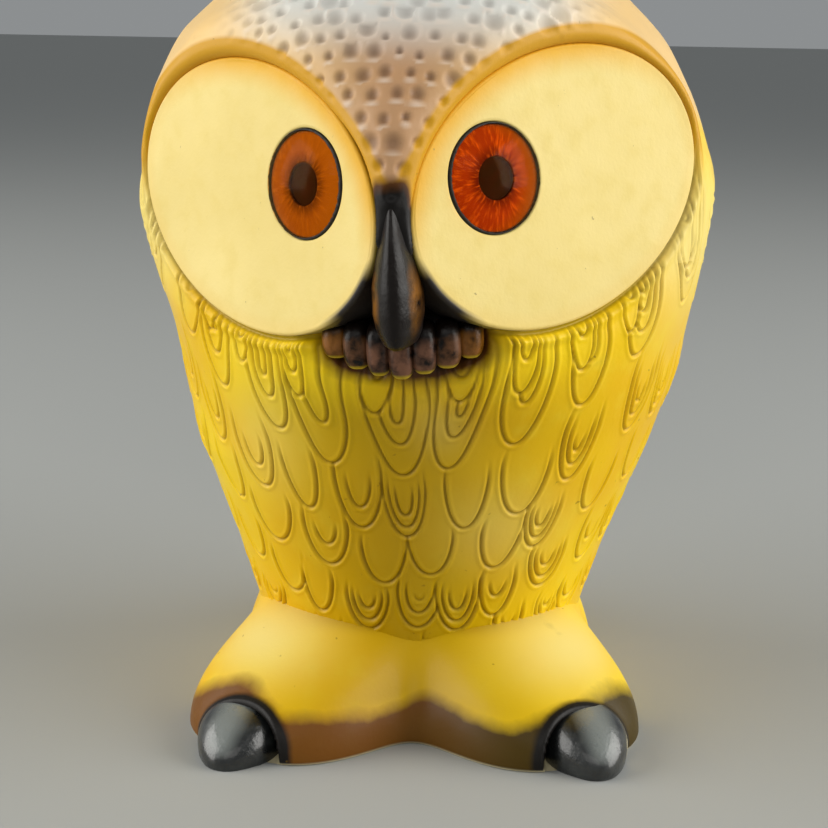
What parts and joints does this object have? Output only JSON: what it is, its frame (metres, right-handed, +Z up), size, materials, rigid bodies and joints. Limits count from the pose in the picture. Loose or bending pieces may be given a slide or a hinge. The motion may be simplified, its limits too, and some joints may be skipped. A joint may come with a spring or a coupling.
{
  "type": "owl figurine",
  "caption": "Hollow cast plaster owl ornament with flat facial discs and domed amber glass eyes set in cement, standing on a flat skirted base.",
  "frame": {"origin": "centre of the bounding box, on the surface that the owl stands on", "axes": "+Z up along the owl's height, -Y the way the owl faces, +X towards the owl's own left"},
  "size_m": [0.1302, 0.1384, 0.178],
  "materials": {
    "plaster": "cold-painted cast plaster under satin lacquer: mustard yellow body, cream facial discs, mauve crown, black beak and claws",
    "cement": "black setting cement, matte, slightly chipped",
    "iris": "painted iris, orange-brown with dark radial streaks",
    "pupil": "dark brown enamel dot",
    "eye_glass": "clear amber glass cabochon, fire-polished"
  },
  "bodies": {
    "root": {"body_casting": "plaster", "eye_cement_right": "cement", "iris_ring_right": "iris", "pupil_right": "pupil", "eye_glass_right": "eye_glass", "eye_cement_left": "cement", "iris_ring_left": "iris", "pupil_left": "pupil", "eye_glass_left": "eye_glass"}
  },
  "joints": []
}
